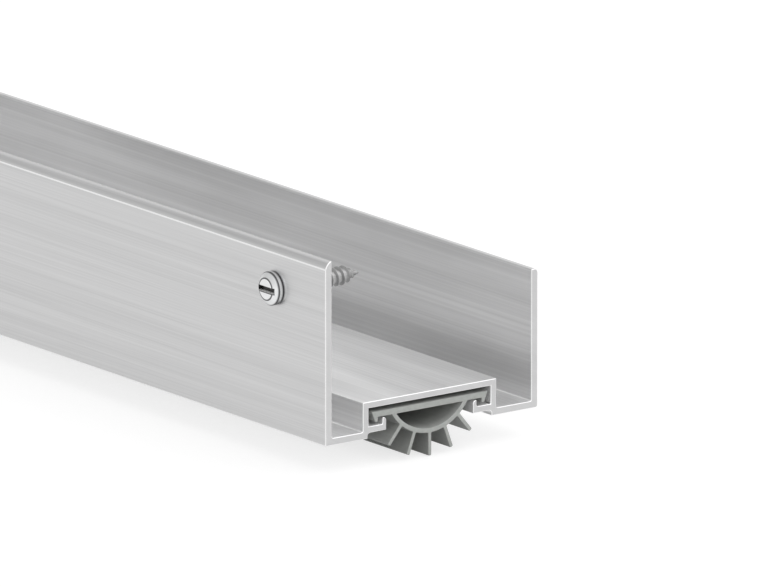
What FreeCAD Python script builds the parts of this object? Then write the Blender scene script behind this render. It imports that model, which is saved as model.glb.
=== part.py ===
import FreeCAD, Part
import Sketcher
import os

# A length of door shoe: an extruded shoe with two legs and a raised channel, a finned insert
# held in the channel's slot, and a row of screws through the front leg.
# X runs along the length, the front leg is at -Y, and Z is up. The origin is in the middle of the
# length, half way between the legs' inner faces, on top of the channel, which is the seat.

SIZES = {
    # Shoe: overall, legs and floors
    "shoe_length": 914.4,
    "grip_width": 44.45,
    "leg_wall": 1.45,
    "leg_land": 0.2,
    "front_leg_grip": 27.2,
    "front_roll_depth": 1.62,
    "front_roll_radius": 2.0,
    "back_leg_grip": 18.95,
    "back_leg_round": 0.75,
    "back_leg_ease": 0.25,
    "floor_wall": 1.38,
    "heel_radius": 0.5,
    "pocket_radius": 0.3,
    # Shoe: raised channel, its lips and their upturned beads
    "channel_shift": 0.45,
    "channel_wall": 1.3,
    "roof_wall": 1.23,
    "foot_wall": 1.1,
    "step_radius": 0.6,
    "slot_opening": 19.3,
    "lip_rise": 1.04,
    "lip_wall": 1.23,
    "bead_width": 0.85,
    "bead_land": 0.2,
    "bead_rise": 1.21,
    # Insert: carrier strip with its two hooks
    "carrier_wall": 1.12,
    "carrier_lift": 0.21,
    "carrier_headroom": 0.77,
    "carrier_side_gap": 0.65,
    "hook_side_gap": 1.05,
    "hook_foot_gap": 0.55,
    "hook_foot_width": 0.6,
    "hook_flare": 0.8,
    # Insert: hollow bulb and its fins
    "bulb_side_gap": 1.23,
    "bulb_drop": 4.64,
    "bulb_wall": 0.82,
    "fin_count": 5,
    "fin_wall": 0.7,
    "fin_length": 4.25,
    "fin_side_gap": 0.52,
    "fin_tip_radius": 0.2,
    # Screws and their holes
    "screw_count": 7,
    "screw_end_margin": 15.6,
    "screw_drop": 7.9,
    "screw_length": 19.05,
    "hole_gap": 0.2,
    "thread_width": 3.5,
    "neck_width": 2.8,
    "thread_runout": 0.75,
    "point_length": 3.6,
    "head_width": 6.2,
    "head_height": 1.8,
    "head_rim": 0.95,
    "head_flat_width": 4.0,
    "driver_slot_length": 4.8,
    "driver_slot_width": 1.15,
    "driver_slot_depth": 0.9,
}


def size(name):
    """The expression that reads one size."""
    return f"Sizes.{name}"


def total(*terms):
    """The expression that adds several expressions."""
    return "(" + " + ".join(terms) + ")"


# Heights above the shoe's underside
LIP_TOP = total(size("lip_rise"), size("lip_wall"))
BEAD_TOP = total(LIP_TOP, size("bead_rise"))
CARRIER_UNDERSIDE = total(BEAD_TOP, size("carrier_lift"))
CEILING = total(CARRIER_UNDERSIDE, size("carrier_wall"), size("carrier_headroom"))
SEAT = total(CEILING, size("roof_wall"))
FRONT_TOP = total(SEAT, size("front_leg_grip"))
BACK_TOP = total(SEAT, size("back_leg_grip"))

# Distances from the middle of the slot, the same on both sides
SLOT_SIDE = f"({size('slot_opening')} / 2)"
BEAD_SIDE = total(SLOT_SIDE, size("bead_width"))
HOOK_INNER = total(BEAD_SIDE, size("hook_side_gap"))
HOOK_OUTER = total(HOOK_INNER, size("hook_foot_width"))
CARRIER_SIDE = total(HOOK_OUTER, size("hook_flare"))
CHANNEL_INNER = total(CARRIER_SIDE, size("carrier_side_gap"))
CHANNEL_OUTER = total(CHANNEL_INNER, size("channel_wall"))
FOOT_SIDE = f"({CHANNEL_OUTER} - {size('foot_wall')})"

# Distances from the front leg's outer face
BACK_INNER = total(size("leg_wall"), size("grip_width"))
BACK_OUTER = total(BACK_INNER, size("leg_wall"))
HALF_GRIP = f"({size('grip_width')} / 2)"
SLOT_MIDDLE = f"({size('leg_wall')} + {HALF_GRIP} - {size('channel_shift')})"

# The bulb's arc goes through both ends of its mouth, at the carrier, and through its lowest point
BULB_MOUTH = f"({SLOT_SIDE} - {size('bulb_side_gap')})"
BULB_RADIUS = f"(({BULB_MOUTH} ^ 2 + {size('bulb_drop')} ^ 2) / (2 * {size('bulb_drop')}))"
BULB_INNER_RADIUS = f"({BULB_RADIUS} - {size('bulb_wall')})"
BULB_RISE = f"({BULB_RADIUS} - {size('bulb_drop')})"
BULB_ROOT = f"({size('carrier_wall')} / 2 - {BULB_RISE})"
FIN_ROOT = f"({BULB_RADIUS} - {size('bulb_wall')} / 2)"
FIN_TIP = total(BULB_RADIUS, size("fin_length"))
FIN_SPREAD = f"(2 * asin(({SLOT_SIDE} - {size('fin_side_gap')}) / {FIN_TIP}))"

# Places in the part's own frame
LEG_FACE_Y = f"(-{HALF_GRIP} - {size('leg_wall')})"
UNDERSIDE_Z = f"(-{SEAT})"
SLOT_MIDDLE_Y = f"(-{size('channel_shift')})"
CARRIER_UNDERSIDE_Z = f"({CARRIER_UNDERSIDE} - {SEAT})"
BULB_CENTRE_Z = total(CARRIER_UNDERSIDE_Z, BULB_RISE)
SCREW_Z = f"({size('front_leg_grip')} - {size('screw_drop')})"
SCREW_ROW = f"({size('shoe_length')} - 2 * {size('screw_end_margin')})"
FIRST_SCREW_X = f"({SCREW_ROW} / 2)"
SCREW_PITCH = f"({SCREW_ROW} / ({size('screw_count')} - 1))"
HEAD_SIDE = f"({size('head_width')} / 2)"


def make_sheet(doc):
    """The spreadsheet of driving sizes, one row for each."""
    sheet = doc.addObject("Spreadsheet::Sheet", "Sizes")
    for row, (name, value) in enumerate(SIZES.items(), start=1):
        sheet.set(f"A{row}", name)
        sheet.set(f"B{row}", str(value))
        sheet.setAlias(f"B{row}", name)
    doc.recompute()
    return sheet


def make_body(doc, label):
    """An empty body under its own label."""
    body = doc.addObject("PartDesign::Body", label)
    body.Label = label
    return body


def add_sketch(body, name, plane_role, across="0", up="0", out="0"):
    """A sketch on one of the body's own planes, with its origin moved by three expressions."""
    sketch = body.newObject("Sketcher::SketchObject", name)
    plane = next(f for f in body.Origin.OriginFeatures if f.Role == plane_role)
    sketch.AttachmentSupport = [(plane, "")]
    sketch.MapMode = "FlatFace"
    for axis, shift in (("x", across), ("y", up), ("z", out)):
        if shift != "0":
            sketch.setExpression(f".AttachmentOffset.Base.{axis}", shift)
    return sketch


def value_of(sketch, expression):
    """What an expression comes to now."""
    return float(sketch.evalExpression(expression))


def bind(sketch, constraint, expression):
    """Adds a constraint and ties its value to an expression."""
    index = sketch.addConstraint(constraint)
    sketch.setExpression(f"Constraints[{index}]", expression)


def hold_point(sketch, edge, end, across, up):
    """Holds one end of an edge at two signed distances from the sketch's origin."""
    for kind, axis, distance in (("DistanceX", -2, across), ("DistanceY", -1, up)):
        if distance == "0":
            sketch.addConstraint(Sketcher.Constraint("PointOnObject", edge, end, axis))
        elif distance is not None:
            value = value_of(sketch, distance)
            bind(sketch, Sketcher.Constraint(kind, -1, 1, edge, end, value), distance)


def moved(expression, sign, distance):
    """An expression moved by a distance one way, the other way or not at all."""
    if sign == 0:
        return expression
    return f"{expression} {'+' if sign > 0 else '-'} {distance}"


def heading(here, there):
    """Which way a level or upright edge runs: -1, 0 or 1 across and up."""
    return tuple((b > a + 1e-9) - (b < a - 1e-9) for a, b in zip(here, there))


def draw_outline(sketch, corners):
    """Draws a closed outline, anticlockwise. A corner is (across, up), or (across, up, radius) where a
    square corner is rounded, or (across, up, radius, before, after) where the arc starts and ends at
    other distances from the corner: expressions measured from the sketch's origin."""
    places = [tuple(value_of(sketch, e) for e in corner[:2]) for corner in corners]
    stops = []
    for i, corner in enumerate(corners):
        across, up = corner[:2]
        if len(corner) == 2:
            stops.append((across, up, None))
            continue
        radius, before, after = corner[2:] if len(corner) == 5 else corner[2:] * 3
        arrive = heading(places[i - 1], places[i])
        leave = heading(places[i], places[(i + 1) % len(places)])
        turns_left = arrive[0] * leave[1] > arrive[1] * leave[0]
        stops.append((moved(across, -arrive[0], before), moved(up, -arrive[1], before),
                      (radius, turns_left)))
        stops.append((moved(across, leave[0], after), moved(up, leave[1], after), None))
    points = [FreeCAD.Vector(value_of(sketch, s[0]), value_of(sketch, s[1]), 0) for s in stops]
    edges = []
    for i, (across, up, rounding) in enumerate(stops):
        start, finish = points[i], points[(i + 1) % len(points)]
        if rounding:
            edges.append(draw_arc(sketch, start, finish, *rounding))
        else:
            edges.append((sketch.addGeometry(Part.LineSegment(start, finish), False), 1, 2))
    for i, (edge, first, last) in enumerate(edges):
        next_edge, next_first, _ = edges[(i + 1) % len(edges)]
        sketch.addConstraint(Sketcher.Constraint("Coincident", edge, last, next_edge, next_first))
        hold_point(sketch, edge, first, *stops[i][:2])


def draw_arc(sketch, start, finish, radius, turns_left):
    """Draws the arc that rounds a corner. Returns the edge and the numbers of its two ends."""
    reach = value_of(sketch, radius)
    chord = finish - start
    inward = FreeCAD.Vector(-chord.y, chord.x, 0).normalize() * (1 if turns_left else -1)
    depth = (reach ** 2 - chord.Length ** 2 / 4) ** 0.5
    centre = (start + finish) / 2 + inward * depth
    circle = Part.Circle(centre, FreeCAD.Vector(0, 0, 1), reach)
    first, last = (start, finish) if turns_left else (finish, start)
    arc = Part.ArcOfCircle(circle, circle.parameter(first), circle.parameter(last))
    edge = sketch.addGeometry(arc, False)
    bind(sketch, Sketcher.Constraint("Radius", edge, reach), radius)
    return (edge, 1, 2) if turns_left else (edge, 2, 1)


def extrude(body, name, sketch):
    """Pads a section to the shoe's length, half each way."""
    pad = body.newObject("PartDesign::Pad", name)
    pad.Profile = sketch
    pad.SideType = "Symmetric"
    pad.setExpression("Length", size("shoe_length"))
    return pad


def make_shoe(doc):
    """The extruded shoe: its whole section in one sketch, then the row of screw holes."""
    body = make_body(doc, "shoe")
    section = add_sketch(body, "ShoeSection", "YZ_Plane", LEG_FACE_Y, UNDERSIDE_Z)
    slot_front, slot_back = f"{SLOT_MIDDLE} - {SLOT_SIDE}", f"{SLOT_MIDDLE} + {SLOT_SIDE}"
    bead_front, bead_back = f"{SLOT_MIDDLE} - {BEAD_SIDE}", f"{SLOT_MIDDLE} + {BEAD_SIDE}"
    inner_front, inner_back = f"{SLOT_MIDDLE} - {CHANNEL_INNER}", f"{SLOT_MIDDLE} + {CHANNEL_INNER}"
    outer_front, outer_back = f"{SLOT_MIDDLE} - {CHANNEL_OUTER}", f"{SLOT_MIDDLE} + {CHANNEL_OUTER}"
    foot_front, foot_back = f"{SLOT_MIDDLE} - {FOOT_SIDE}", f"{SLOT_MIDDLE} + {FOOT_SIDE}"
    roll_start = f"({size('leg_wall')} - {size('leg_land')})"
    bead_round = f"({size('bead_width')} - {size('bead_land')})"
    draw_outline(section, [
        ("0", "0"),
        (foot_front, "0"),
        (foot_front, size("lip_rise"), size("step_radius")),
        (slot_front, size("lip_rise")),
        (slot_front, BEAD_TOP, bead_round),
        (bead_front, BEAD_TOP),
        (bead_front, LIP_TOP, size("pocket_radius")),
        (inner_front, LIP_TOP),
        (inner_front, CEILING),
        (inner_back, CEILING),
        (inner_back, LIP_TOP),
        (bead_back, LIP_TOP, size("pocket_radius")),
        (bead_back, BEAD_TOP),
        (slot_back, BEAD_TOP, bead_round),
        (slot_back, size("lip_rise")),
        (foot_back, size("lip_rise"), size("step_radius")),
        (foot_back, "0"),
        (BACK_OUTER, "0", size("heel_radius")),
        (BACK_OUTER, BACK_TOP, size("back_leg_round")),
        (BACK_INNER, BACK_TOP, size("back_leg_ease")),
        (BACK_INNER, size("floor_wall"), size("pocket_radius")),
        (outer_back, size("floor_wall"), size("pocket_radius")),
        (outer_back, SEAT),
        (outer_front, SEAT),
        (outer_front, size("floor_wall"), size("pocket_radius")),
        (size("leg_wall"), size("floor_wall"), size("pocket_radius")),
        (size("leg_wall"), FRONT_TOP),
        ("0", FRONT_TOP, size("front_roll_radius"), roll_start, size("front_roll_depth")),
    ])
    extrude(body, "ShoeLength", section)

    ring = add_sketch(body, "ScrewHoleCircle", "XZ_Plane", FIRST_SCREW_X, SCREW_Z, f"-{LEG_FACE_Y}")
    radius = f"({size('thread_width')} / 2 + {size('hole_gap')})"
    circle = Part.Circle(FreeCAD.Vector(), FreeCAD.Vector(0, 0, 1), value_of(ring, radius))
    edge = ring.addGeometry(circle, False)
    ring.addConstraint(Sketcher.Constraint("Coincident", edge, 3, -1, 1))
    bind(ring, Sketcher.Constraint("Radius", edge, circle.Radius), radius)
    hole = body.newObject("PartDesign::Pocket", "ScrewHole")
    hole.Profile = ring
    hole.setExpression("Length", size("leg_wall"))
    row = body.newObject("PartDesign::LinearPattern", "ScrewHoles")
    row.Originals = [hole]
    row.Direction = (ring, ["H_Axis"])
    row.Reversed = True
    row.setExpression("Length", SCREW_ROW)
    row.setExpression("Occurrences", size("screw_count"))
    body.Tip = row
    return body


def make_insert(doc):
    """The soft insert: the carrier with its hooks, the hollow bulb below it, and the bulb's fins."""
    body = make_body(doc, "insert")
    strip = add_sketch(body, "CarrierSection", "YZ_Plane", SLOT_MIDDLE_Y, CARRIER_UNDERSIDE_Z)
    hook_foot = f"({LIP_TOP} + {size('hook_foot_gap')} - {CARRIER_UNDERSIDE})"
    draw_outline(strip, [
        (f"-{HOOK_OUTER}", hook_foot),
        (f"-{HOOK_INNER}", hook_foot),
        (f"-{HOOK_INNER}", "0"),
        (HOOK_INNER, "0"),
        (HOOK_INNER, hook_foot),
        (HOOK_OUTER, hook_foot),
        (CARRIER_SIDE, size("carrier_wall")),
        (f"-{CARRIER_SIDE}", size("carrier_wall")),
    ])
    extrude(body, "Carrier", strip)

    shell = add_sketch(body, "BulbSection", "YZ_Plane", SLOT_MIDDLE_Y, BULB_CENTRE_Z)
    draw_bulb(shell)
    extrude(body, "Bulb", shell)

    blade = add_sketch(body, "FinSection", "YZ_Plane", SLOT_MIDDLE_Y, BULB_CENTRE_Z)
    blade.setExpression(".AttachmentOffset.Rotation.Angle", f"-{FIN_SPREAD} / 2")
    half_fin = f"({size('fin_wall')} / 2)"
    draw_outline(blade, [
        (f"-{half_fin}", f"-{FIN_TIP}", size("fin_tip_radius")),
        (half_fin, f"-{FIN_TIP}", size("fin_tip_radius")),
        (half_fin, f"-{FIN_ROOT}"),
        (f"-{half_fin}", f"-{FIN_ROOT}"),
    ])
    fin = extrude(body, "Fin", blade)
    fan = body.newObject("PartDesign::PolarPattern", "Fins")
    fan.Originals = [fin]
    fan.Axis = (blade, ["N_Axis"])
    fan.setExpression("Angle", FIN_SPREAD)
    fan.setExpression("Occurrences", size("fin_count"))
    body.Tip = fan
    return body


def draw_bulb(sketch):
    """Draws the bulb's wall about the sketch's origin: two arcs that run up into the carrier."""
    height = value_of(sketch, BULB_ROOT)
    arcs = []
    for radius in (BULB_RADIUS, BULB_INNER_RADIUS):
        reach = value_of(sketch, radius)
        side = (reach ** 2 - height ** 2) ** 0.5
        circle = Part.Circle(FreeCAD.Vector(), FreeCAD.Vector(0, 0, 1), reach)
        first, last = FreeCAD.Vector(-side, height, 0), FreeCAD.Vector(side, height, 0)
        arc = Part.ArcOfCircle(circle, circle.parameter(first), circle.parameter(last))
        edge = sketch.addGeometry(arc, False)
        sketch.addConstraint(Sketcher.Constraint("Coincident", edge, 3, -1, 1))
        bind(sketch, Sketcher.Constraint("Radius", edge, reach), radius)
        hold_point(sketch, edge, 1, None, BULB_ROOT)
        hold_point(sketch, edge, 2, None, BULB_ROOT)
        arcs.append((edge, first, last))
    (outer, outer_first, outer_last), (inner, inner_first, inner_last) = arcs
    for end, start, finish in ((1, outer_first, inner_first), (2, outer_last, inner_last)):
        edge = sketch.addGeometry(Part.LineSegment(start, finish), False)
        sketch.addConstraint(Sketcher.Constraint("Coincident", edge, 1, outer, end))
        sketch.addConstraint(Sketcher.Constraint("Coincident", edge, 2, inner, end))


def make_screw(doc, number):
    """One pan-head screw, turned about its axis. Its driver slot ends short of the head's rim."""
    body = make_body(doc, f"screw_{number}")
    half = add_sketch(body, f"ScrewHalf{number}", "XZ_Plane")
    neck_end = f"-({total(size('leg_wall'), size('thread_runout'))})"
    draw_outline(half, [
        ("0", f"-{size('screw_length')}"),
        (f"{size('thread_width')} / 2", f"-{size('screw_length')} + {size('point_length')}"),
        (f"{size('thread_width')} / 2", neck_end),
        (f"{size('neck_width')} / 2", neck_end),
        (f"{size('neck_width')} / 2", "0"),
        (HEAD_SIDE, "0"),
        (HEAD_SIDE, size("head_rim")),
        (f"{size('head_flat_width')} / 2", size("head_height")),
        ("0", size("head_height")),
    ])
    turned = body.newObject("PartDesign::Revolution", f"ScrewTurned{number}")
    turned.Profile = half
    turned.ReferenceAxis = (half, ["V_Axis"])

    across = add_sketch(body, f"DriverSlotAcross{number}", "XY_Plane", out=size("head_height"))
    slot_end = f"({size('driver_slot_length')} / 2)"
    slot_side = f"({size('driver_slot_width')} / 2)"
    draw_outline(across, [
        (f"-{slot_end}", f"-{slot_side}"),
        (slot_end, f"-{slot_side}"),
        (slot_end, slot_side),
        (f"-{slot_end}", slot_side),
    ])
    slot = body.newObject("PartDesign::Pocket", f"DriverSlot{number}")
    slot.Profile = across
    slot.setExpression("Length", size("driver_slot_depth"))
    body.Tip = slot

    body.Placement = FreeCAD.Placement(FreeCAD.Vector(), FreeCAD.Rotation(FreeCAD.Vector(1, 0, 0), 90))
    body.setExpression(".Placement.Base.x", f"{FIRST_SCREW_X} - {number - 1} * {SCREW_PITCH}")
    body.setExpression(".Placement.Base.y", LEG_FACE_Y)
    body.setExpression(".Placement.Base.z", SCREW_Z)
    return body


def check(doc, bodies):
    """Stops if an object failed to build or a piece isn't one sound solid."""
    for thing in doc.Objects:
        if "Invalid" in thing.State or "Error" in thing.State:
            raise RuntimeError(f"{thing.Label} did not build: {thing.State}")
    for body in bodies:
        if body.Shape.isNull() or not body.Shape.isValid() or len(body.Shape.Solids) != 1:
            raise RuntimeError(f"{body.Label} is not one sound solid")


doc = FreeCAD.newDocument("door_shoe")
sheet = make_sheet(doc)
bodies = [make_shoe(doc), make_insert(doc)]
bodies += [make_screw(doc, number) for number in range(1, int(sheet.get("screw_count")) + 1)]
doc.recompute()
check(doc, bodies)

os.makedirs("parts", exist_ok=True)
for body in bodies:
    body.Shape.exportStep(f"parts/{body.Label}.step")
    print(f"{body.Label}: {body.Shape.Volume:.1f} cubic mm, faces {len(body.Shape.Faces)}")
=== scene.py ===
import math

import bmesh
import bpy
from mathutils import Matrix, Vector


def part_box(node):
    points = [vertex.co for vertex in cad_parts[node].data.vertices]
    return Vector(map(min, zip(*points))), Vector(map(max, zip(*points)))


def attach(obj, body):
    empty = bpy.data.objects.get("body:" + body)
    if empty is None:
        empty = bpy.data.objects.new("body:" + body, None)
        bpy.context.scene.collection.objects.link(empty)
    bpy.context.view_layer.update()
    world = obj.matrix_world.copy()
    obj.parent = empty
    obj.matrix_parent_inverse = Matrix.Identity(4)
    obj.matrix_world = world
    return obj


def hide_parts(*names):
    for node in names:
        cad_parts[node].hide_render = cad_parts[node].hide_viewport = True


# The looks of a length of door shoe: a brushed aluminium shoe with sawn ends, a soft vinyl insert
# with a hollow bulb and fins, and a row of zinc-plated screws. Everything is in metres.

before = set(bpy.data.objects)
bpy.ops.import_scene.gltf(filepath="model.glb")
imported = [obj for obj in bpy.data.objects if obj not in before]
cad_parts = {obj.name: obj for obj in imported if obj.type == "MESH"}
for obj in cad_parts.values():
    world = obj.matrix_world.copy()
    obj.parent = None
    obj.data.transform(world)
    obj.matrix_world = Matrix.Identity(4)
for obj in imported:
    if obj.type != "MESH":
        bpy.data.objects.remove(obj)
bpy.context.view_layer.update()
MM = 0.001

SHOE_LOW, SHOE_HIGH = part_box("shoe")
INSERT_LOW, INSERT_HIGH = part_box("insert")
SCREW_NODES = sorted(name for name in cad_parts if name.startswith("screw_"))

# Camera: the view is parallel, so a long lens stands far off. It is placed from the shoe's near,
# front, lower corner.
CAMERA_AZIMUTH = math.radians(53.465)
CAMERA_ELEVATION = math.radians(14.328)
CAMERA_DISTANCE = 4.8548
CAMERA_REACH = 100
CAMERA_LENS = 1290
CAMERA_SENSOR = 36
AIM_RIGHT = 9.65 * MM
AIM_UP = 27.38 * MM

# Shoe: the rounding that the die and a file leave on its edges, with its steps, how far below its
# top the front leg starts to roll over, the legs' thickness, and the level of the seat on top of
# the channel
SHOE_EDGE = 0.16 * MM
SHOE_EDGE_STEPS = 2
ROLL_DEPTH = 1.75 * MM
LEG_WALL = 1.45 * MM
SEAT_LEVEL = 0.0

# Shoe: the numbers of its finishes, how far beside the insert the slot's painted light reaches, and
# the parts of a unit vector that tell a face or an edge along an axis, a cut end, the start of the
# roll, and a face that looks down
# One finish is painted bright as a highlight, and stands for rubbing on the rounded edges.
BRUSHED, SAWN, RUBBED_AND_HIGHLIGHT, EXTRUDED, CHANNEL_PAINTED_LIGHT = range(5)
CHANNEL_LIGHT_REACH = 0.8 * MM
ALONG_AXIS = 0.999
FACING_END = 0.9
FACING_FRONT = -0.95
FACING_DOWN = -0.5

# Insert: carrier strip with its two hooks, and the rounding of the corners and ends
CARRIER_WALL = 1.12 * MM
HOOK_DROP = 0.87 * MM
HOOK_FOOT = 0.6 * MM
HOOK_FLARE = 0.8 * MM
INSERT_EDGE = 0.07 * MM
END_TURNS = [math.radians(angle) for angle in (90, 60, 30, 0)]

# Insert: bulb and fins
BULB_RADIUS = 9.95 * MM
BULB_WALL = 0.82 * MM
FIN_COUNT = 5
FIN_STEP = math.radians(20)
FIN_WALL = 0.7 * MM
FIN_LENGTH = 4.25 * MM
FIN_TIP_RADIUS = 0.2 * MM
FIN_ROOT_RADIUS = 0.22 * MM
HOLLOW_CORNER = 0.12 * MM
ARC_STEP = math.radians(2)

# Screw: pan head with its driver slot. The shoulder's crown has points at these shares of its width.
HEAD_RADIUS = 3.1 * MM
HEAD_HEIGHT = 1.8 * MM
HEAD_RIM = 0.95 * MM
HEAD_FLAT_RADIUS = 2.0 * MM
HEAD_CROWN = 0.07 * MM
CROWN_SHARES = (0.2, 0.4, 0.6, 0.8)
HEAD_EDGE = 0.12 * MM
HEAD_EDGE_STEPS = 3
HEAD_SEGMENTS = 64
SLOT_LENGTH = 4.8 * MM
SLOT_WIDTH = 1.05 * MM
SLOT_DEPTH = 0.9 * MM

# Screw: neck and thread. The thread's ridge is a row of places along one pitch, each with 0 for the
# root or 1 for the crest. The helix has spare turns, one past each end.
NECK_RADIUS = 1.4 * MM
NECK_LENGTH = 2.2 * MM
SCREW_LENGTH = 19.05 * MM
POINT_LENGTH = 3.6 * MM
THREAD_PITCH = 1.27 * MM
THREAD_RIDGE = [(0.0, 0), (0.26, 0), (0.45, 1), (0.55, 1), (0.74, 0)]
THREAD_SEGMENTS = 32
SPARE_TURNS = 2
CREST_RADIUS = 1.75 * MM
ROOT_RADIUS = 1.3 * MM

# Screw: the numbers of its finishes, the colour and widths of the painted shade lines on the head, the
# share of the width that is fully dark in a crease's line and in the slot's, the heights between which
# painted shade darkens the rim's underside, and the scale and unevenness of the turned rings
# Two of the finishes are painted: dark as shade in the driver slot, and pale as light on its walls.
PLATED, SLOT_PAINTED_SHADE, DULL, SLOT_WALL_PAINTED_LIGHT = range(4)
PAINTED_SHADE_COLOUR = (0.1, 0.1, 0.105, 1)
CORNER_LINE = 0.2 * MM
RIM_LINE = 1.2 * CORNER_LINE
FOOT_LINE = 2 * CORNER_LINE
LINE_CORE = 0.3
SLOT_LINE_CORE = 0.8
UNDERSIDE_DARK = -0.75 * HEAD_RADIUS
UNDERSIDE_CLEAR = -0.5 * HEAD_RADIUS
RING_SCALE = 1400.0
RING_DISTORTION = 1.5

# Meshes: the gap below which two points are one, in the shoe's and the thread's meshes and in the
# others, the slack in finding a face or an edge by its place, the angles of flat faces and of sharp
# edges, and the steps of a rounded corner
FINE_POINT_GAP = 0.001 * MM
POINT_GAP = 0.002 * MM
HAIR = 0.01 * MM
FLAT_ANGLE = math.radians(0.5)
SHARP_ANGLE = math.radians(30)
SCREW_SHARP_ANGLE = math.radians(35)
CORNER_STEPS = 5

# Meshes: a pulled-in outline moves a point by the depth over the cosine of half its turn, which
# counts as this at least. The last is the modifier's full weight for large faces in the shading.
LEAST_COSINE = 0.5
FACE_WEIGHT = 100

# Materials: the range that most of a noise lies in, the depths of fine marks, of vinyl's and of the
# turned rings, and the slants of the marks that a saw leaves on the shoe and a blade on the insert
NOISE_MIDDLE = (0.2, 0.8)
MARK_DEPTH = 0.02 * MM
VINYL_MARK_DEPTH = 0.03 * MM
RING_DEPTH = 0.01 * MM
SAW_SLANT = math.radians(28)
BLADE_SLANT = math.radians(-12)

# Materials: how strong the relief of brushing is, how far it stretches reflections, and the share of
# a full turn between them and the tangent
BRUSH_RELIEF = 0.25
BRUSH_STRETCH = 0.5
BRUSH_TURN = 0.25

# Studio: the colour of every glow and background
WHITE = (1, 1, 1, 1)

# Floor: its reach each way, its gap below the fins, its greys for other rays and under the glow, and
# its glow for metal and for the camera, which changes between two distances from the middle
FLOOR_REACH = 60.0
FLOOR_GAP = 0.2 * MM
FLOOR_GREY = (0.8, 0.8, 0.8, 1)
FLOOR_SHADE = (0.35, 0.35, 0.35, 1)
FLOOR_MIRRORED = 0.6
FLOOR_DISTANCES = (1.0, 3.0)
FLOOR_GLOW = (0.75, 0.84)

# World: its light on plain surfaces, what the camera sees, and the tent that metal mirrors. Each
# part of the tent has a range of a direction's X or Z, and then the strengths at its two ends.
WORLD_LIGHT = 0.5
WORLD_SEEN = 1.0
TENT_WALL = ((-0.9, 0.3), (0.57, 0.8))
TENT_ROOF = ((0.75, 0.95), (1.0, 0.4))
TENT_SKIRT = ((0.08, 0.22), (1.0, 0.0))

# Softboxes: how far from the near end they aim, and the direction, distance, size and power of each
LAMP_AIM = 0.1
SOFTBOXES = {
    "key": ((0.2, -0.1, 0.95), 2.0, 2.2, 8),
    "fill": ((1.0, 0.05, 0.6), 2.2, 2.4, 14),
    "rim": ((0.25, 0.58, 0.78), 2.0, 1.6, 7),
    "top": ((-0.78, 0.3, 0.55), 2.0, 1.6, 2.8),
}


def add_object(name, data):
    """A new object in the scene."""
    thing = bpy.data.objects.new(name, data)
    bpy.context.scene.collection.objects.link(thing)
    return thing


def place_camera():
    """The camera, aimed from the shoe's near corner."""
    sin_a, cos_a = math.sin(CAMERA_AZIMUTH), math.cos(CAMERA_AZIMUTH)
    sin_e, cos_e = math.sin(CAMERA_ELEVATION), math.cos(CAMERA_ELEVATION)
    right = Vector((cos_a, sin_a, 0))
    up = Vector((-sin_a * sin_e, cos_a * sin_e, cos_e))
    back = Vector((sin_a * cos_e, -cos_a * cos_e, sin_e))
    near_corner = Vector((SHOE_HIGH.x, SHOE_LOW.y, SHOE_LOW.z))
    camera = add_object("camera", bpy.data.cameras.new("camera"))
    camera.data.lens = CAMERA_LENS
    camera.data.sensor_width = CAMERA_SENSOR
    camera.data.clip_end = CAMERA_REACH
    turn = Matrix((right, up, back)).transposed().to_4x4()
    eye = near_corner + right * AIM_RIGHT + up * AIM_UP + back * CAMERA_DISTANCE
    camera.matrix_world = Matrix.Translation(eye) @ turn
    bpy.context.scene.camera = camera


# Shader nodes

def add_node(tree, kind, inputs=(), **settings):
    """Adds a shader node with its settings. Each input is a plain value or a socket to link from."""
    node = tree.nodes.new(kind)
    for key, value in settings.items():
        setattr(node, key, value)
    for key, value in dict(inputs).items():
        if isinstance(value, bpy.types.NodeSocket):
            tree.links.new(value, node.inputs[key])
        else:
            node.inputs[key].default_value = value
    return node


def clear_tree(holder):
    """The node tree of a material or a world, with nothing in it."""
    holder.use_nodes = True
    holder.node_tree.nodes.clear()
    return holder.node_tree


def new_material(name, inputs=()):
    """A node material. Returns it with its tree and its Principled shader, which has these inputs."""
    material = bpy.data.materials.new(name)
    tree = clear_tree(material)
    shader = add_node(tree, "ShaderNodeBsdfPrincipled", inputs)
    add_node(tree, "ShaderNodeOutputMaterial", {"Surface": shader.outputs["BSDF"]})
    return material, tree, shader


def object_place(tree):
    """A point's place in its object."""
    return add_node(tree, "ShaderNodeTexCoord").outputs["Object"]


def stretched_noise(tree, size, detail=2.0, turn=0.0):
    """Noise whose blobs have these three sizes along X, Y and Z, turned about X first."""
    turned = add_node(tree, "ShaderNodeMapping",
                      {"Vector": object_place(tree), "Rotation": (turn, 0, 0)})
    scaled = add_node(tree, "ShaderNodeMapping",
                      {"Vector": turned.outputs["Vector"], "Scale": tuple(1 / s for s in size)})
    noise = add_node(tree, "ShaderNodeTexNoise",
                     {"Vector": scaled.outputs["Vector"], "Scale": 1.0, "Detail": detail})
    return noise.outputs["Fac"]


def mix_noise(tree, first, second, share):
    """Two noises in one, with this share of the second."""
    return add_node(tree, "ShaderNodeMix", {"A": first, "B": second, "Factor": share}).outputs["Result"]


def map_range(tree, value, source, target, kind="LINEAR"):
    """Maps a value from one range onto another, and holds it at the ends."""
    mapped = add_node(tree, "ShaderNodeMapRange",
                      {"Value": value, "From Min": source[0], "From Max": source[1],
                       "To Min": target[0], "To Max": target[1]}, interpolation_type=kind)
    return mapped.outputs["Result"]


def spread(tree, factor, low, high):
    """Maps a noise's middle range onto low to high."""
    return map_range(tree, factor, NOISE_MIDDLE, (low, high), "SMOOTHSTEP")


def ramp(tree, value, full, none):
    """A factor that is 1 where a value is up to "full" and falls to 0 at "none"."""
    return map_range(tree, value, (full, none), (1.0, 0.0))


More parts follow.
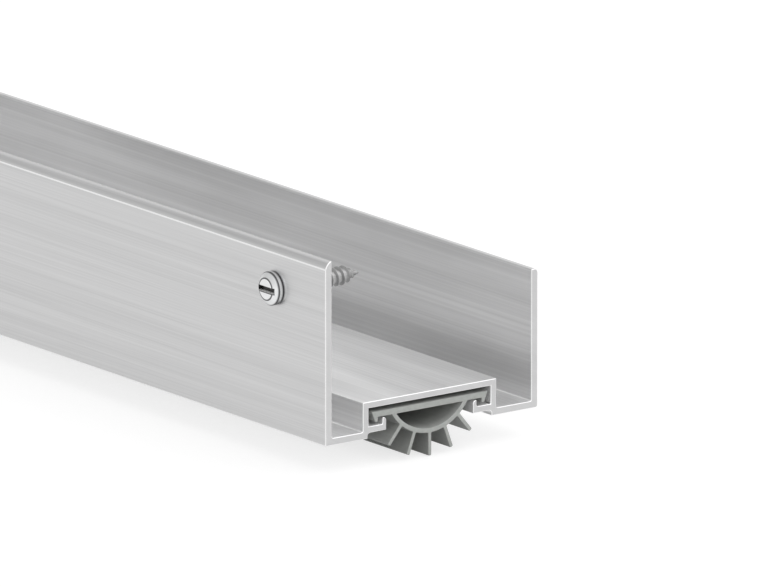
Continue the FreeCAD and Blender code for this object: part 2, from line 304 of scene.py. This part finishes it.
def calculate(tree, operation, *values):
    """The result of a math node."""
    return add_node(tree, "ShaderNodeMath", dict(enumerate(values)), operation=operation).outputs["Value"]


def length_of(tree, vector):
    """The length of a vector."""
    return add_node(tree, "ShaderNodeVectorMath", {0: vector}, operation="LENGTH").outputs["Value"]


def mix_colours(tree, factor, low, high):
    """A colour between two, by a factor. Each colour is (red, green, blue, 1) or a socket."""
    mix = add_node(tree, "ShaderNodeMix", {"Factor": factor, "A": low, "B": high}, data_type="RGBA")
    return mix.outputs["Result"]


def shade_between(tree, noise, low, high):
    """A colour that a noise varies between two, each (red, green, blue)."""
    return mix_colours(tree, spread(tree, noise, 0, 1), (*low, 1), (*high, 1))


def tint(tree, shader, noise, low, high):
    """Varies a shader's colour between two, by a noise."""
    tree.links.new(shade_between(tree, noise, low, high), shader.inputs["Base Color"])


def roughen(tree, shader, noise, low, high):
    """Varies a shader's roughness between two values, by a noise."""
    tree.links.new(spread(tree, noise, low, high), shader.inputs["Roughness"])


def emboss(tree, shader, height, strength, depth=MARK_DEPTH):
    """Gives a shader's surface a faint relief."""
    bump = add_node(tree, "ShaderNodeBump", {"Height": height, "Strength": strength, "Distance": depth})
    tree.links.new(bump.outputs["Normal"], shader.inputs["Normal"])


# Materials

def brush_lengthwise(tree, shader, streaks, metallic=1.0):
    """Brushing marks that run along X: they stretch reflections across the marks."""
    emboss(tree, shader, streaks, BRUSH_RELIEF)
    brushing = add_node(tree, "ShaderNodeCombineXYZ", {"X": 1.0})
    tree.links.new(brushing.outputs["Vector"], shader.inputs["Tangent"])
    shader.inputs["Metallic"].default_value = metallic
    shader.inputs["Anisotropic"].default_value = BRUSH_STRETCH
    shader.inputs["Anisotropic Rotation"].default_value = BRUSH_TURN


def brushed_finish():
    """Brushed aluminium: fine long streaks along the extrusion, over broader bands."""
    material, tree, shader = new_material("brushed_aluminium")
    fine = stretched_noise(tree, size=(0.05, 0.00028, 0.00028), detail=3)
    broad = stretched_noise(tree, size=(0.2, 0.0016, 0.0016), detail=3)
    mixed = mix_noise(tree, broad, fine, share=0.6)
    tint(tree, shader, mixed, low=(0.605, 0.605, 0.607), high=(0.755, 0.755, 0.757))
    roughen(tree, shader, fine, low=0.30, high=0.42)
    brush_lengthwise(tree, shader, fine)
    return material


def die_finish():
    """Aluminium as it leaves the die, on the inner faces: satin, with long lines and faint clouds."""
    material, tree, shader = new_material("extruded_aluminium")
    lines = stretched_noise(tree, size=(0.4, 0.0005, 0.0005), detail=3)
    cloud = stretched_noise(tree, size=(0.05, 0.005, 0.005), detail=2)
    mixed = mix_noise(tree, lines, cloud, share=0.5)
    tint(tree, shader, mixed, low=(0.7, 0.7, 0.702), high=(0.96, 0.96, 0.962))
    roughen(tree, shader, cloud, low=0.29, high=0.38)
    brush_lengthwise(tree, shader, lines, metallic=0.7)
    return material


def rubbed_and_highlight_finish():
    """Aluminium painted bright as a highlight along an edge or a narrow corner; on the rounded edges it
    also stands for rubbing.
    """
    material, tree, shader = new_material("rubbed_and_highlight_aluminium")
    fine = stretched_noise(tree, size=(0.02, 0.0003, 0.0003), detail=3)
    tint(tree, shader, fine, low=(0.9, 0.9, 0.902), high=(0.99, 0.99, 0.99))
    roughen(tree, shader, fine, low=0.28, high=0.32)
    brush_lengthwise(tree, shader, fine)
    return material


def channel_painted_light_finish():
    """Aluminium in the slot where the insert slides along it, painted pale and matt as light."""
    material, tree, shader = new_material("channel_painted_light_aluminium")
    lines = stretched_noise(tree, size=(0.03, 0.0004, 0.0004), detail=3)
    tint(tree, shader, lines, low=(0.8, 0.8, 0.802), high=(0.95, 0.95, 0.95))
    roughen(tree, shader, lines, low=0.4, high=0.5)
    brush_lengthwise(tree, shader, lines, metallic=0.2)
    return material


def sawn_finish():
    """Aluminium cut across by a saw: short marks at a slant, a little duller than the brushed faces."""
    material, tree, shader = new_material("sawn_aluminium", {"Metallic": 1.0})
    marks = stretched_noise(tree, size=(0.01, 0.006, 0.0002), detail=2, turn=SAW_SLANT)
    cloud = stretched_noise(tree, size=(0.004, 0.004, 0.004), detail=2)
    mixed = mix_noise(tree, cloud, marks, share=0.4)
    tint(tree, shader, mixed, low=(0.6, 0.6, 0.602), high=(0.675, 0.675, 0.677))
    roughen(tree, shader, marks, low=0.42, high=0.5)
    emboss(tree, shader, marks, strength=0.2)
    return material


def soft_vinyl(name, low, high):
    """Grey vinyl: a dull skin between two shades, with faint lines along the extrusion and a slight
    mottle."""
    material, tree, shader = new_material(name, {"Specular IOR Level": 0.35})
    lines = stretched_noise(tree, size=(0.08, 0.0004, 0.0004), detail=2)
    mottle = stretched_noise(tree, size=(0.0015, 0.0015, 0.0015), detail=4)
    mixed = mix_noise(tree, mottle, lines, share=0.4)
    tint(tree, shader, mixed, low, high)
    roughen(tree, shader, mottle, low=0.45, high=0.58)
    emboss(tree, shader, mixed, strength=0.3, depth=VINYL_MARK_DEPTH)
    return material


def cut_vinyl():
    """Vinyl cut across: paler and chalkier than its skin, with faint marks of the blade."""
    material, tree, shader = new_material("cut_vinyl", {"Specular IOR Level": 0.3})
    marks = stretched_noise(tree, size=(0.01, 0.004, 0.00018), detail=2, turn=BLADE_SLANT)
    mottle = stretched_noise(tree, size=(0.0009, 0.0009, 0.0009), detail=4)
    mixed = mix_noise(tree, mottle, marks, share=0.35)
    tint(tree, shader, mixed, low=(0.39, 0.405, 0.385), high=(0.48, 0.495, 0.475))
    roughen(tree, shader, mottle, low=0.6, high=0.72)
    emboss(tree, shader, mixed, strength=0.3)
    return material


def painted_shade_spots(tree, place):
    """Painted shade on a screw's head: how dark its plating is painted at a spot. The shade is painted
    along the head's creases, which are the edge of the flat and the edge between the shoulder and the
    rim, and along the foot of the rim. It is also painted along the lower edge of the driver slot and
    on the underside of the rim."""
    split = add_node(tree, "ShaderNodeSeparateXYZ", {0: place})
    across, up, outward = (split.outputs[name] for name in "XYZ")
    level = add_node(tree, "ShaderNodeCombineXYZ", {"X": across, "Y": up})
    radius = length_of(tree, level.outputs["Vector"])
    painted_shade = calculate(tree, "MULTIPLY", ramp(tree, up, UNDERSIDE_DARK, UNDERSIDE_CLEAR),
                     ramp(tree, outward, HEAD_RIM, HEAD_RIM + CORNER_LINE))
    for measure, middle, width in ((radius, HEAD_FLAT_RADIUS, CORNER_LINE),
                                   (outward, HEAD_RIM, RIM_LINE), (outward, 0, FOOT_LINE)):
        away = calculate(tree, "ABSOLUTE", calculate(tree, "SUBTRACT", measure, middle))
        painted_shade = calculate(tree, "MAXIMUM", painted_shade, ramp(tree, away, LINE_CORE * width, width))
    at_slot = calculate(tree, "LESS_THAN", calculate(tree, "ABSOLUTE", across), SLOT_LENGTH / 2)
    below = calculate(tree, "ABSOLUTE", calculate(tree, "ADD", up, SLOT_WIDTH / 2))
    slot_edge_shade = ramp(tree, below, SLOT_LINE_CORE * CORNER_LINE, CORNER_LINE)
    return calculate(tree, "MAXIMUM", painted_shade, calculate(tree, "MULTIPLY", at_slot, slot_edge_shade))


def zinc_plate():
    """Bright zinc plating with faint rings from turning. Painted shade darkens it along the head's
    creases, the foot and underside of its rim, and the slot's lower edge.
    """
    material, tree, shader = new_material("zinc_plate", {"Metallic": 1.0})
    place = object_place(tree)
    rings = add_node(tree, "ShaderNodeTexWave",
                     {"Vector": place, "Scale": RING_SCALE, "Distortion": RING_DISTORTION},
                     wave_type="RINGS", rings_direction="Z")
    cloud = stretched_noise(tree, size=(0.0012, 0.0012, 0.0012), detail=3)
    plated = shade_between(tree, cloud, low=(0.86, 0.87, 0.875), high=(0.94, 0.945, 0.95))
    # The plating is painted dark at these spots, as shade.
    painted_shade_plate = mix_colours(tree, painted_shade_spots(tree, place), plated, PAINTED_SHADE_COLOUR)
    tree.links.new(painted_shade_plate, shader.inputs["Base Color"])
    roughen(tree, shader, cloud, low=0.28, high=0.34)
    emboss(tree, shader, rings.outputs["Fac"], strength=0.06, depth=RING_DEPTH)
    return material


def zinc_dull_and_painted_light(name, low, high, metallic):
    """Zinc plating between two greys, matt where it isn't metallic: dull on the thread, painted dark as
    shade on the driver slot's floor and ends, and painted pale as light on the slot's long walls.
    """
    material, tree, shader = new_material(name, {"Metallic": metallic})
    cloud = stretched_noise(tree, size=(0.0006, 0.0003, 0.0006), detail=3)
    tint(tree, shader, cloud, (low,) * 3, (high,) * 3)
    roughen(tree, shader, cloud, low=0.35, high=0.55)
    return material


# Meshes

def merge_points(work, gap=POINT_GAP):
    """Merges the points that lie closer together than any real edge is long."""
    bmesh.ops.remove_doubles(work, verts=work.verts, dist=gap)


def finish_mesh(work, name):
    """The mesh that has been worked on."""
    mesh = bpy.data.meshes.new(name)
    work.to_mesh(mesh)
    work.free()
    return mesh


def weigh_normals(thing):
    """Shades rounded edges smoothly and keeps the flat faces flat."""
    for face in thing.data.polygons:
        face.use_smooth = True
    even = thing.modifiers.new("even_normals", "WEIGHTED_NORMAL")
    even.mode = "FACE_AREA"
    even.keep_sharp = True
    even.weight = FACE_WEIGHT


def gets_painted_highlight(face):
    """Whether a face along the shoe gets a painted highlight: a narrow corner below the seat, or the line
    where the front leg starts to roll over."""
    slanted = max(abs(face.normal.y), abs(face.normal.z)) < ALONG_AXIS
    starts_roll = face.normal.y < FACING_FRONT and face.center.z > SHOE_HIGH.z - ROLL_DEPTH
    return slanted and (face.center.z < SEAT_LEVEL or starts_roll)


def is_outer(face):
    """Whether a face along the shoe is on the outside of its section, or on top of a leg."""
    return (face.center.y < SHOE_LOW.y + LEG_WALL - HAIR or face.center.y > SHOE_HIGH.y - LEG_WALL + HAIR
            or face.center.z < SHOE_LOW.z + HAIR)


def gets_channel_painted_light(face):
    """Whether a face along the shoe is in the slot, and doesn't look down: it is painted pale, as light.
    """
    in_slot = INSERT_LOW.y - CHANNEL_LIGHT_REACH < face.center.y < INSERT_HIGH.y + CHANNEL_LIGHT_REACH
    return in_slot and face.center.z < SEAT_LEVEL - LEG_WALL and face.normal.z > FACING_DOWN


def shoe_finish(face):
    """The number of a face's finish."""
    if abs(face.normal.x) > FACING_END:
        return SAWN
    # Faces in the slot are painted pale, as light.
    if gets_channel_painted_light(face):
        return CHANNEL_PAINTED_LIGHT
    # Narrow corners and the start of the roll are painted bright, as a highlight.
    if gets_painted_highlight(face):
        return RUBBED_AND_HIGHLIGHT
    return BRUSHED if is_outer(face) else EXTRUDED


def mark_edges(work):
    """Weighs every sharp edge of the shoe for the bevel, apart from the rims of the screw holes, which
    stay crisp."""
    weight = work.edges.layers.float.new("bevel_weight_edge")
    for edge in work.edges:
        if edge.calc_face_angle() < SHARP_ANGLE:
            continue
        first, last = (corner.co for corner in edge.verts)
        lengthwise = abs((last - first).normalized().x) > ALONG_AXIS
        at_end = min(abs(first.x), abs(last.x)) > SHOE_HIGH.x - HAIR
        edge[weight] = 1.0 if lengthwise or at_end else 0.0
        edge.smooth = lengthwise or at_end


def make_shoe(*finishes):
    """The shoe: its solid's own mesh with flat faces joined and sharp edges rounded."""
    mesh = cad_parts["shoe"].data.copy()
    mesh.materials.clear()
    work = bmesh.new()
    work.from_mesh(mesh)
    merge_points(work, FINE_POINT_GAP)
    bmesh.ops.dissolve_limit(work, angle_limit=FLAT_ANGLE, verts=work.verts, edges=work.edges)
    mark_edges(work)
    work.to_mesh(mesh)
    work.free()
    for material in finishes:
        mesh.materials.append(material)
    for face in mesh.polygons:
        face.material_index = shoe_finish(face)
    shoe = add_object("shoe_extrusion", mesh)
    rounding = shoe.modifiers.new("edges", "BEVEL")
    rounding.width = SHOE_EDGE
    rounding.segments = SHOE_EDGE_STEPS
    rounding.use_clamp_overlap = False
    rounding.limit_method = "WEIGHT"
    # The rounded edges get the bright finish: rubbing and a painted highlight.
    rounding.material = RUBBED_AND_HIGHLIGHT
    weigh_normals(shoe)
    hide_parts("shoe")
    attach(shoe, "shoe")


def round_corner(before, corner, after, radius, steps=CORNER_STEPS):
    """The points of the arc that rounds a corner between two straight sides."""
    arrive = (corner - before).normalized()
    leave = (after - corner).normalized()
    turn = math.atan2(arrive.x * leave.y - arrive.y * leave.x, arrive.dot(leave))
    reach = radius * math.tan(abs(turn) / 2)
    start = corner - arrive * reach
    side = Vector((-arrive.y, arrive.x)) * math.copysign(1, turn)
    centre = start + side * radius
    points = []
    for i in range(steps + 1):
        spin = Matrix.Rotation(turn * i / steps, 2)
        points.append(centre + spin @ (start - centre))
    return points


def round_corners(corners):
    """A closed outline from corners (y, z, radius)."""
    outline = []
    for i, (y, z, radius) in enumerate(corners):
        here = Vector((y, z))
        if radius:
            before = Vector(corners[i - 1][:2])
            after = Vector(corners[(i + 1) % len(corners)][:2])
            outline += round_corner(before, here, after, radius)
        else:
            outline.append(here)
    return outline


def pull_in(outline, depth):
    """Moves a closed outline to its left by a depth: into the material of an anticlockwise one."""
    moved = []
    for i, here in enumerate(outline):
        arrive = (here - outline[i - 1]).normalized()
        leave = (outline[(i + 1) % len(outline)] - here).normalized()
        across = Vector((-arrive.y - leave.y, arrive.x + leave.x)).normalized()
        cosine = max(LEAST_COSINE, across.dot(Vector((-arrive.y, arrive.x))))
        moved.append(here + across * (depth / cosine))
    return moved


def close_end(work, end, edge, finish):
    """Fills one end of an extrusion with faces that look outwards and have this finish's number."""
    rim = [line for line in work.edges if line.is_boundary and abs(line.verts[0].co.x - end) < edge]
    filled = bmesh.ops.triangle_fill(work, edges=rim, use_beauty=True, use_dissolve=False)
    for face in filled["geom"]:
        if isinstance(face, bmesh.types.BMFace):
            face.material_index = finish
            face.normal_update()
            if face.normal.x * end < 0:
                face.normal_flip()


def extrude_section(name, outlines, low_x, high_x, edge):
    """A solid from outlines in the YZ plane, with the edges of its two ends rounded. The first outline
    runs anticlockwise, seen from +X, and the outlines of hollows clockwise. The faces of each outline
    get its number as their finish's, and the two end faces get the number after the last."""
    work = bmesh.new()
    low_rings = [(low_x + edge * (1 - math.sin(a)), edge * (1 - math.cos(a))) for a in END_TURNS]
    stations = low_rings + [(low_x + high_x - x, depth) for x, depth in reversed(low_rings)]
    for number, outline in enumerate(outlines):
        rings = []
        for x, depth in stations:
            rings.append([work.verts.new((x, p.x, p.y)) for p in pull_in(outline, depth)])
        count = len(outline)
        for low, high in zip(rings, rings[1:]):
            for i in range(count):
                j = (i + 1) % count
                work.faces.new((low[i], low[j], high[j], high[i])).material_index = number
    merge_points(work)
    for end in (low_x, high_x):
        close_end(work, end, edge, len(outlines))
    return finish_mesh(work, name)


def on_bulb(angle, radius):
    """A point on a circle about the bulb's centre, its angle measured from straight down."""
    return Vector((math.sin(angle), -math.cos(angle))) * radius


def arc_points(first, last, radius):
    """Points on the bulb's circle, between two angles and not at them."""
    steps = max(1, round(abs(last - first) / ARC_STEP))
    return [(*on_bulb(first + (last - first) * i / steps, radius), 0) for i in range(1, steps)]


def make_insert_outlines():
    """The insert's outer outline and its hollow, about the bulb's centre."""
    top = INSERT_HIGH.z - (INSERT_LOW.z + BULB_RADIUS + FIN_LENGTH)
    under = top - CARRIER_WALL
    side = (INSERT_HIGH.y - INSERT_LOW.y) / 2
    foot = side - HOOK_FLARE
    heel = foot - HOOK_FOOT
    corners = [
        (side, top, INSERT_EDGE),
        (-side, top, INSERT_EDGE),
        (-foot, under - HOOK_DROP, INSERT_EDGE),
        (-heel, under - HOOK_DROP, INSERT_EDGE),
        (-heel, under, INSERT_EDGE),
    ]
    mouth = math.acos(-under / BULB_RADIUS)
    half_root = math.asin(FIN_WALL / 2 / BULB_RADIUS)
    start = -mouth
    corners.append((*on_bulb(start, BULB_RADIUS), INSERT_EDGE))
    for number in range(FIN_COUNT):
        angle = (number - (FIN_COUNT - 1) / 2) * FIN_STEP
        corners += arc_points(start, angle - half_root, BULB_RADIUS)
        fin = Matrix.Rotation(angle, 2)
        root = BULB_RADIUS * math.cos(half_root)
        tip = BULB_RADIUS + FIN_LENGTH
        for across, down, radius in ((-1, root, FIN_ROOT_RADIUS), (-1, tip, FIN_TIP_RADIUS),
                                     (1, tip, FIN_TIP_RADIUS), (1, root, FIN_ROOT_RADIUS)):
            corners.append((*(fin @ Vector((across * FIN_WALL / 2, -down))), radius))
        start = angle + half_root
    corners += arc_points(start, mouth, BULB_RADIUS)
    corners.append((*on_bulb(mouth, BULB_RADIUS), INSERT_EDGE))
    corners += [(heel, under, INSERT_EDGE), (heel, under - HOOK_DROP, INSERT_EDGE),
                (foot, under - HOOK_DROP, INSERT_EDGE)]
    inner = BULB_RADIUS - BULB_WALL
    inner_mouth = math.acos(-under / inner)
    hollow = [(*on_bulb(inner_mouth, inner), HOLLOW_CORNER)]
    hollow += arc_points(inner_mouth, -inner_mouth, inner)
    hollow.append((*on_bulb(-inner_mouth, inner), HOLLOW_CORNER))
    return round_corners(corners), round_corners(hollow)


def make_insert(*finishes):
    """The vinyl insert, with smooth arcs, filleted fins and soft edges. The finishes are its skin's,
    its hollow's, which is painted paler as light, and its ends'."""
    centre = Vector(((INSERT_LOW.y + INSERT_HIGH.y) / 2, INSERT_LOW.z + BULB_RADIUS + FIN_LENGTH))
    outlines = [[point + centre for point in outline] for outline in make_insert_outlines()]
    mesh = extrude_section("insert_extrusion", outlines, INSERT_LOW.x, INSERT_HIGH.x, INSERT_EDGE)
    for material in finishes:
        mesh.materials.append(material)
    insert = add_object("insert_extrusion", mesh)
    weigh_normals(insert)
    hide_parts("insert")
    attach(insert, "insert")


def turn_profile(work, profile):
    """Adds the solid that a half profile (radius, height) makes about Z."""
    turns = [2 * math.pi * i / HEAD_SEGMENTS for i in range(HEAD_SEGMENTS)]
    rings = []
    for radius, height in profile:
        if radius == 0:
            rings.append([work.verts.new((0, 0, height))])
        else:
            rings.append([work.verts.new((radius * math.cos(t), radius * math.sin(t), height))
                          for t in turns])
    for low, high in zip(rings, rings[1:]):
        for i in range(HEAD_SEGMENTS):
            j = (i + 1) % HEAD_SEGMENTS
            corners = [low[i % len(low)], low[j % len(low)], high[j % len(high)], high[i % len(high)]]
            work.faces.new(list(dict.fromkeys(corners)))


def head_profile():
    """The pan head's half outline (radius, height), from its neck to its middle: an upright rim, a
    slightly crowned shoulder and a flat."""
    base, rim = Vector((HEAD_RADIUS, 0)), Vector((HEAD_RADIUS, HEAD_RIM))
    flat, middle = Vector((HEAD_FLAT_RADIUS, HEAD_HEIGHT)), Vector((0, HEAD_HEIGHT))
    neck = [Vector((0, -NECK_LENGTH)), Vector((NECK_RADIUS, -NECK_LENGTH)), Vector((NECK_RADIUS, 0))]
    outward = Vector((flat.y - rim.y, rim.x - flat.x)).normalized() * HEAD_CROWN
    shoulder = [rim.lerp(flat, t) + outward * 4 * t * (1 - t) for t in CROWN_SHARES]
    profile = neck + round_corner(neck[-1], base, rim, HEAD_EDGE, HEAD_EDGE_STEPS)
    profile += round_corner(base, rim, shoulder[0], HEAD_EDGE, HEAD_EDGE_STEPS) + shoulder
    profile += round_corner(shoulder[-1], flat, middle, HEAD_EDGE, HEAD_EDGE_STEPS)
    profile.append(middle)
    return [tuple(point) for point in profile]


def make_head_mesh():
    """The pan head on its neck, before its slot is cut."""
    work = bmesh.new()
    turn_profile(work, head_profile())
    bmesh.ops.recalc_face_normals(work, faces=work.faces)
    return finish_mesh(work, "screw_head")


def add_thread_points(work):
    """Adds the thread's points, in rows that each make one turn of a helix. A place past either end of
    the thread is held at that end, and the thread narrows to its point and fades out at its neck."""
    tip, neck = -SCREW_LENGTH, -NECK_LENGTH
    turns = math.ceil((neck - tip) / THREAD_PITCH) + SPARE_TURNS
    grid = []
    for row in range(turns * len(THREAD_RIDGE)):
        share, crest = THREAD_RIDGE[row % len(THREAD_RIDGE)]
        line = []
        for i in range(THREAD_SEGMENTS):
            height = tip + (row // len(THREAD_RIDGE) - 1 + share + i / THREAD_SEGMENTS) * THREAD_PITCH
            height = min(max(height, tip), neck)
            fade = min(1, (neck - height) / THREAD_PITCH)
            radius = ROOT_RADIUS + (CREST_RADIUS - ROOT_RADIUS) * crest * fade
            radius *= min(1, (height - tip) / POINT_LENGTH)
            angle = 2 * math.pi * i / THREAD_SEGMENTS
            line.append(work.verts.new((radius * math.cos(angle), radius * math.sin(angle), height)))
        grid.append(line)
    return grid


def make_thread_mesh():
    """The threaded shank. The last point of a row meets the first point of the row one pitch on."""
    work = bmesh.new()
    grid = add_thread_points(work)
    for row in range(len(grid) - 1):
        for low, high in zip(zip(grid[row], grid[row][1:]), zip(grid[row + 1], grid[row + 1][1:])):
            work.faces.new((low[0], low[1], high[1], high[0]))
        row_on = row + len(THREAD_RIDGE)
        if row_on + 1 < len(grid):
            work.faces.new((grid[row][-1], grid[row_on][0], grid[row_on + 1][0], grid[row + 1][-1]))
    merge_points(work, FINE_POINT_GAP)
    bmesh.ops.dissolve_degenerate(work, dist=FINE_POINT_GAP, edges=work.edges)
    bmesh.ops.holes_fill(work, edges=work.edges)
    bmesh.ops.recalc_face_normals(work, faces=work.faces)
    return finish_mesh(work, "screw_thread")


def combine(base, other, operation):
    """The mesh that a boolean leaves of two meshes."""
    thing, tool = add_object("base", base), add_object("tool", other)
    step = thing.modifiers.new("combine", "BOOLEAN")
    step.operation = operation
    step.solver = "EXACT"
    step.object = tool
    found = thing.evaluated_get(bpy.context.evaluated_depsgraph_get())
    mesh = bpy.data.meshes.new_from_object(found)
    bpy.data.objects.remove(thing)
    bpy.data.objects.remove(tool)
    work = bmesh.new()
    work.from_mesh(mesh)
    merge_points(work)
    work.to_mesh(mesh)
    work.free()
    return mesh


def make_slot_cutter():
    """The block that the driver slot is cut with. The slot ends short of the head's rim."""
    work = bmesh.new()
    bmesh.ops.create_cube(work, size=1)
    bmesh.ops.scale(work, vec=(SLOT_LENGTH, SLOT_WIDTH, 2 * SLOT_DEPTH), verts=work.verts)
    bmesh.ops.translate(work, vec=(0, 0, HEAD_HEIGHT), verts=work.verts)
    return finish_mesh(work, "slot_cutter")


def screw_finish(face):
    """The number of a face's finish. It is dull on the neck and thread, painted dark as shade on the
    floor and at the ends of the driver slot, painted pale and matt as light on the slot's long walls, and
    plated elsewhere."""
    place = face.center
    if place.z < -HAIR:
        return DULL
    past_end = abs(place.x) - SLOT_LENGTH / 2
    past_side = abs(place.y) - SLOT_WIDTH / 2
    if place.z <= 0 or past_end >= HAIR or past_side >= HAIR:
        return PLATED
    if abs(past_end) < HAIR or abs(place.z - (HEAD_HEIGHT - SLOT_DEPTH)) < HAIR:
        return SLOT_PAINTED_SHADE
    return SLOT_WALL_PAINTED_LIGHT if abs(past_side) < HAIR else PLATED


def make_screws(*finishes):
    """One screw mesh, placed at every screw node, with its slot along the shoe."""
    head = combine(make_head_mesh(), make_slot_cutter(), "DIFFERENCE")
    mesh = combine(head, make_thread_mesh(), "UNION")
    mesh.materials.clear()
    for material in finishes:
        mesh.materials.append(material)
    for face in mesh.polygons:
        face.use_smooth = True
        face.material_index = screw_finish(face)
    mesh.set_sharp_from_angle(angle=SCREW_SHARP_ANGLE)
    for node in SCREW_NODES:
        low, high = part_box(node)
        screw = add_object(node.replace("screw_", "pan_screw_"), mesh)
        seat = Vector(((low.x + high.x) / 2, SHOE_LOW.y, (low.z + high.z) / 2))
        screw.matrix_world = Matrix.Translation(seat) @ Matrix.Rotation(math.radians(90), 4, "X")
        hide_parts(node)
        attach(screw, "shoe")


# Studio

def mix_shaders(tree, factor, low, high):
    """The first shader where a factor is 0, and the second where it is 1."""
    return add_node(tree, "ShaderNodeMixShader", {0: factor, 1: low.outputs[0], 2: high.outputs[0]})


def choose_by_ray(tree, plain, mirrored, seen):
    """One shader for glossy rays, one for the camera's, and a plain one for all others."""
    rays = add_node(tree, "ShaderNodeLightPath")
    unseen = mix_shaders(tree, rays.outputs["Is Glossy Ray"], plain, mirrored)
    return mix_shaders(tree, rays.outputs["Is Camera Ray"], unseen, seen)


def add_glow(tree, shade, strength):
    """A shader with a white glow added to it."""
    glow = add_node(tree, "ShaderNodeEmission", {"Color": WHITE, "Strength": strength})
    return add_node(tree, "ShaderNodeAddShader", {0: shade.outputs[0], 1: glow.outputs[0]})


def make_floor():
    """A pale floor at the tips of the fins. It looks white, and keeps a soft shadow. It is a little
    brighter further off, where the lamps don't reach, and clear when seen from below."""
    height = INSERT_LOW.z - FLOOR_GAP
    sides = ((-1, -1), (1, -1), (1, 1), (-1, 1))
    mesh = bpy.data.meshes.new("floor")
    mesh.from_pydata([(x * FLOOR_REACH, y * FLOOR_REACH, height) for x, y in sides], [], [(0, 1, 2, 3)])
    floor = add_object("floor", mesh)
    material = bpy.data.materials.new("floor")
    tree = clear_tree(material)
    plain = add_node(tree, "ShaderNodeBsdfDiffuse", {"Color": FLOOR_GREY})
    shade = add_node(tree, "ShaderNodeBsdfDiffuse", {"Color": FLOOR_SHADE})
    level = map_range(tree, length_of(tree, object_place(tree)), FLOOR_DISTANCES, FLOOR_GLOW)
    seen = add_glow(tree, shade, level)
    mirrored = add_glow(tree, shade, FLOOR_MIRRORED)
    above = choose_by_ray(tree, plain, mirrored, seen)
    clear = add_node(tree, "ShaderNodeBsdfTransparent")
    below = add_node(tree, "ShaderNodeNewGeometry").outputs["Backfacing"]
    sided = mix_shaders(tree, below, above, clear)
    add_node(tree, "ShaderNodeOutputMaterial", {"Surface": sided.outputs[0]})
    mesh.materials.append(material)


def add_background(tree, strength):
    """A white background of this strength."""
    return add_node(tree, "ShaderNodeBackground", {"Color": WHITE, "Strength": strength})


def make_world():
    """Soft grey light all round. The camera sees it white. Polished metal sees a tent that is white
    along the floor, pale towards the near end, and grey towards the far end and overhead."""
    world = bpy.data.worlds.new("studio")
    bpy.context.scene.world = world
    tree = clear_tree(world)
    direction = add_node(tree, "ShaderNodeTexCoord").outputs["Generated"]
    split = add_node(tree, "ShaderNodeSeparateXYZ", {0: direction})
    wall = map_range(tree, split.outputs["X"], *TENT_WALL)
    roof = map_range(tree, split.outputs["Z"], *TENT_ROOF)
    shell = calculate(tree, "MULTIPLY", wall, roof)
    skirt = map_range(tree, split.outputs["Z"], *TENT_SKIRT)
    tent = add_node(tree, "ShaderNodeMix", {"Factor": skirt, "A": shell, "B": 1.0}).outputs["Result"]
    sky = choose_by_ray(tree, add_background(tree, WORLD_LIGHT), add_background(tree, tent),
                        add_background(tree, WORLD_SEEN))
    add_node(tree, "ShaderNodeOutputWorld", {"Surface": sky.outputs[0]})


def add_softbox(name, aim, direction, distance, size, power):
    """A square area light that stands off from a point, in a direction, and faces it."""
    light = bpy.data.lights.new(name, "AREA")
    light.shape = "SQUARE"
    light.size = size
    light.energy = power
    lamp = add_object(name, light)
    outward = Vector(direction).normalized()
    lamp.matrix_world = (Matrix.Translation(aim + outward * distance)
                         @ outward.to_track_quat("Z", "Y").to_matrix().to_4x4())


def light_studio():
    """A soft key from above, a fill from beyond the near end, a light above and behind, which the
    edges of the near end mirror, and a faint one from the far end for the tops of the legs."""
    near_end = Vector((SHOE_HIGH.x - LAMP_AIM, 0, 0))
    for name, softbox in SOFTBOXES.items():
        add_softbox(name, near_end, *softbox)


place_camera()
make_shoe(brushed_finish(), sawn_finish(), rubbed_and_highlight_finish(), die_finish(), channel_painted_light_finish())
make_insert(soft_vinyl("grey_vinyl", low=(0.28, 0.287, 0.277), high=(0.35, 0.358, 0.345)),
            # The hollow is painted paler than the skin, as light.
            soft_vinyl("hollow_painted_light_vinyl", low=(0.42, 0.43, 0.415), high=(0.52, 0.53, 0.515)),
            cut_vinyl())
# The driver slot's floor and ends are painted dark as shade, and its long walls pale as light.
make_screws(zinc_plate(), zinc_dull_and_painted_light("slot_painted_shade_zinc", low=0.05, high=0.12, metallic=1.0),
            zinc_dull_and_painted_light("dull_zinc", low=0.38, high=0.5, metallic=1.0),
            zinc_dull_and_painted_light("slot_wall_painted_light_zinc", low=0.9, high=0.98, metallic=0.0))
make_floor()
make_world()
light_studio()
bpy.context.scene.view_settings.view_transform = "Standard"
